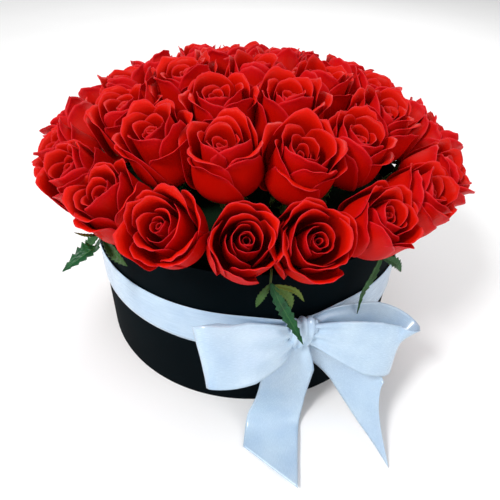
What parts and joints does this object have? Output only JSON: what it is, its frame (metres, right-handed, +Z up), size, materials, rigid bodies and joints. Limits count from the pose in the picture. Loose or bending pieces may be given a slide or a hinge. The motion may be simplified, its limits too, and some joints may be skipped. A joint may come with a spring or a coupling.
{
  "type": "flower box",
  "caption": "Round rigid flower box with a satin ribbon and bow, holding a lift-out liner of floral foam and a dome of cut red roses.",
  "frame": {"origin": "centre of the box's underside, where it stands on a table", "axes": "+Z up; -Y towards the front, where the bow is; +X to the right seen from the front"},
  "size_m": [0.3156, 0.3511, 0.216],
  "materials": {
    "board": "matte",
    "black_paper": "matte",
    "satin": "satin",
    "liner_plastic": "gloss",
    "floral_foam": "matte",
    "leaf": "satin",
    "rose_petal": "satin"
  },
  "bodies": {
    "box": {"box_wall": "board", "box_base": "board", "cover_paper": "black_paper", "base_paper": "black_paper", "ribbon_band": "satin", "bow_knot": "satin", "bow_loop_left": "satin", "bow_loop_right": "satin", "bow_tail_left": "satin", "bow_tail_right": "satin"},
    "arrangement": {"liner": "liner_plastic", "foam": "floral_foam", "leaf_sprig_front": "leaf", "leaf_sprig_left": "leaf", "leaf_sprig_right": "leaf"},
    "rose_01": {"rose_01": "rose_petal"},
    "rose_02": {"rose_02": "rose_petal"},
    "rose_03": {"rose_03": "rose_petal"},
    "rose_04": {"rose_04": "rose_petal"},
    "rose_05": {"rose_05": "rose_petal"},
    "rose_06": {"rose_06": "rose_petal"},
    "rose_07": {"rose_07": "rose_petal"},
    "rose_08": {"rose_08": "rose_petal"},
    "rose_09": {"rose_09": "rose_petal"},
    "rose_10": {"rose_10": "rose_petal"},
    "rose_11": {"rose_11": "rose_petal"},
    "rose_12": {"rose_12": "rose_petal"},
    "rose_13": {"rose_13": "rose_petal"},
    "rose_14": {"rose_14": "rose_petal"},
    "rose_15": {"rose_15": "rose_petal"},
    "rose_16": {"rose_16": "rose_petal"},
    "rose_17": {"rose_17": "rose_petal"},
    "rose_18": {"rose_18": "rose_petal"},
    "rose_19": {"rose_19": "rose_petal"},
    "rose_20": {"rose_20": "rose_petal"},
    "rose_21": {"rose_21": "rose_petal"},
    "rose_22": {"rose_22": "rose_petal"},
    "rose_23": {"rose_23": "rose_petal"},
    "rose_24": {"rose_24": "rose_petal"},
    "rose_25": {"rose_25": "rose_petal"},
    "rose_26": {"rose_26": "rose_petal"},
    "rose_27": {"rose_27": "rose_petal"},
    "rose_28": {"rose_28": "rose_petal"},
    "rose_29": {"rose_29": "rose_petal"},
    "rose_30": {"rose_30": "rose_petal"},
    "rose_31": {"rose_31": "rose_petal"},
    "rose_32": {"rose_32": "rose_petal"},
    "rose_33": {"rose_33": "rose_petal"},
    "rose_34": {"rose_34": "rose_petal"},
    "rose_35": {"rose_35": "rose_petal"},
    "rose_36": {"rose_36": "rose_petal"},
    "rose_37": {"rose_37": "rose_petal"},
    "rose_38": {"rose_38": "rose_petal"},
    "rose_39": {"rose_39": "rose_petal"},
    "rose_40": {"rose_40": "rose_petal"}
  },
  "joints": [
    {"name": "arrangement_lift", "type": "slide", "parent": "box", "child": "arrangement", "axis": [0, 0, 1], "range_m": [0, 0.14]},
    {"name": "rose_01_pull", "type": "slide", "parent": "arrangement", "child": "rose_01", "axis": [0, 0, 1], "range_m": [0, 0.06]},
    {"name": "rose_02_pull", "type": "slide", "parent": "arrangement", "child": "rose_02", "axis": [0.092, -0.1473, 0.9848], "range_m": [0, 0.06]},
    {"name": "rose_03_pull", "type": "slide", "parent": "arrangement", "child": "rose_03", "axis": [0.1735, 0.0061, 0.9848], "range_m": [0, 0.06]},
    {"name": "rose_04_pull", "type": "slide", "parent": "arrangement", "child": "rose_04", "axis": [0.0815, 0.1533, 0.9848], "range_m": [0, 0.06]},
    {"name": "rose_05_pull", "type": "slide", "parent": "arrangement", "child": "rose_05", "axis": [-0.092, 0.1473, 0.9848], "range_m": [0, 0.06]},
    {"name": "rose_06_pull", "type": "slide", "parent": "arrangement", "child": "rose_06", "axis": [-0.1735, -0.0061, 0.9848], "range_m": [0, 0.06]},
    {"name": "rose_07_pull", "type": "slide", "parent": "arrangement", "child": "rose_07", "axis": [-0.0815, -0.1533, 0.9848], "range_m": [0, 0.06]},
    {"name": "rose_08_pull", "type": "slide", "parent": "arrangement", "child": "rose_08", "axis": [-0.065, -0.3689, 0.9272], "range_m": [0, 0.06]},
    {"name": "rose_09_pull", "type": "slide", "parent": "arrangement", "child": "rose_09", "axis": [0.1138, -0.3569, 0.9272], "range_m": [0, 0.06]},
    {"name": "rose_10_pull", "type": "slide", "parent": "arrangement", "child": "rose_10", "axis": [0.2667, -0.2631, 0.9272], "range_m": [0, 0.06]},
    {"name": "rose_11_pull", "type": "slide", "parent": "arrangement", "child": "rose_11", "axis": [0.3584, -0.109, 0.9272], "range_m": [0, 0.06]},
    {"name": "rose_12_pull", "type": "slide", "parent": "arrangement", "child": "rose_12", "axis": [0.368, 0.07, 0.9272], "range_m": [0, 0.06]},
    {"name": "rose_13_pull", "type": "slide", "parent": "arrangement", "child": "rose_13", "axis": [0.2933, 0.233, 0.9272], "range_m": [0, 0.06]},
    {"name": "rose_14_pull", "type": "slide", "parent": "arrangement", "child": "rose_14", "axis": [0.1514, 0.3426, 0.9272], "range_m": [0, 0.06]},
    {"name": "rose_15_pull", "type": "slide", "parent": "arrangement", "child": "rose_15", "axis": [-0.0251, 0.3738, 0.9272], "range_m": [0, 0.06]},
    {"name": "rose_16_pull", "type": "slide", "parent": "arrangement", "child": "rose_16", "axis": [-0.1959, 0.3193, 0.9272], "range_m": [0, 0.06]},
    {"name": "rose_17_pull", "type": "slide", "parent": "arrangement", "child": "rose_17", "axis": [-0.3219, 0.1916, 0.9272], "range_m": [0, 0.06]},
    {"name": "rose_18_pull", "type": "slide", "parent": "arrangement", "child": "rose_18", "axis": [-0.3741, 0.0201, 0.9272], "range_m": [0, 0.06]},
    {"name": "rose_19_pull", "type": "slide", "parent": "arrangement", "child": "rose_19", "axis": [-0.3406, -0.156, 0.9272], "range_m": [0, 0.06]},
    {"name": "rose_20_pull", "type": "slide", "parent": "arrangement", "child": "rose_20", "axis": [-0.229, -0.2964, 0.9272], "range_m": [0, 0.06]},
    {"name": "rose_21_pull", "type": "slide", "parent": "arrangement", "child": "rose_21", "axis": [-0.0234, -0.6687, 0.7431], "range_m": [0, 0.06]},
    {"name": "rose_22_pull", "type": "slide", "parent": "arrangement", "child": "rose_22", "axis": [0.1844, -0.6432, 0.7431], "range_m": [0, 0.06]},
    {"name": "rose_23_pull", "type": "slide", "parent": "arrangement", "child": "rose_23", "axis": [0.3742, -0.5547, 0.7431], "range_m": [0, 0.06]},
    {"name": "rose_24_pull", "type": "slide", "parent": "arrangement", "child": "rose_24", "axis": [0.5273, -0.412, 0.7431], "range_m": [0, 0.06]},
    {"name": "rose_25_pull", "type": "slide", "parent": "arrangement", "child": "rose_25", "axis": [0.6288, -0.2289, 0.7431], "range_m": [0, 0.06]},
    {"name": "rose_26_pull", "type": "slide", "parent": "arrangement", "child": "rose_26", "axis": [0.6687, -0.0234, 0.7431], "range_m": [0, 0.06]},
    {"name": "rose_27_pull", "type": "slide", "parent": "arrangement", "child": "rose_27", "axis": [0.6432, 0.1844, 0.7431], "range_m": [0, 0.06]},
    {"name": "rose_28_pull", "type": "slide", "parent": "arrangement", "child": "rose_28", "axis": [0.5547, 0.3742, 0.7431], "range_m": [0, 0.06]},
    {"name": "rose_29_pull", "type": "slide", "parent": "arrangement", "child": "rose_29", "axis": [0.412, 0.5273, 0.7431], "range_m": [0, 0.06]},
    {"name": "rose_30_pull", "type": "slide", "parent": "arrangement", "child": "rose_30", "axis": [0.2289, 0.6288, 0.7431], "range_m": [0, 0.06]},
    {"name": "rose_31_pull", "type": "slide", "parent": "arrangement", "child": "rose_31", "axis": [0.0234, 0.6687, 0.7431], "range_m": [0, 0.06]},
    {"name": "rose_32_pull", "type": "slide", "parent": "arrangement", "child": "rose_32", "axis": [-0.1844, 0.6432, 0.7431], "range_m": [0, 0.06]},
    {"name": "rose_33_pull", "type": "slide", "parent": "arrangement", "child": "rose_33", "axis": [-0.3742, 0.5547, 0.7431], "range_m": [0, 0.06]},
    {"name": "rose_34_pull", "type": "slide", "parent": "arrangement", "child": "rose_34", "axis": [-0.5273, 0.412, 0.7431], "range_m": [0, 0.06]},
    {"name": "rose_35_pull", "type": "slide", "parent": "arrangement", "child": "rose_35", "axis": [-0.6288, 0.2289, 0.7431], "range_m": [0, 0.06]},
    {"name": "rose_36_pull", "type": "slide", "parent": "arrangement", "child": "rose_36", "axis": [-0.6687, 0.0234, 0.7431], "range_m": [0, 0.06]},
    {"name": "rose_37_pull", "type": "slide", "parent": "arrangement", "child": "rose_37", "axis": [-0.6432, -0.1844, 0.7431], "range_m": [0, 0.06]},
    {"name": "rose_38_pull", "type": "slide", "parent": "arrangement", "child": "rose_38", "axis": [-0.5547, -0.3742, 0.7431], "range_m": [0, 0.06]},
    {"name": "rose_39_pull", "type": "slide", "parent": "arrangement", "child": "rose_39", "axis": [-0.412, -0.5273, 0.7431], "range_m": [0, 0.06]},
    {"name": "rose_40_pull", "type": "slide", "parent": "arrangement", "child": "rose_40", "axis": [-0.2289, -0.6288, 0.7431], "range_m": [0, 0.06]}
  ]
}
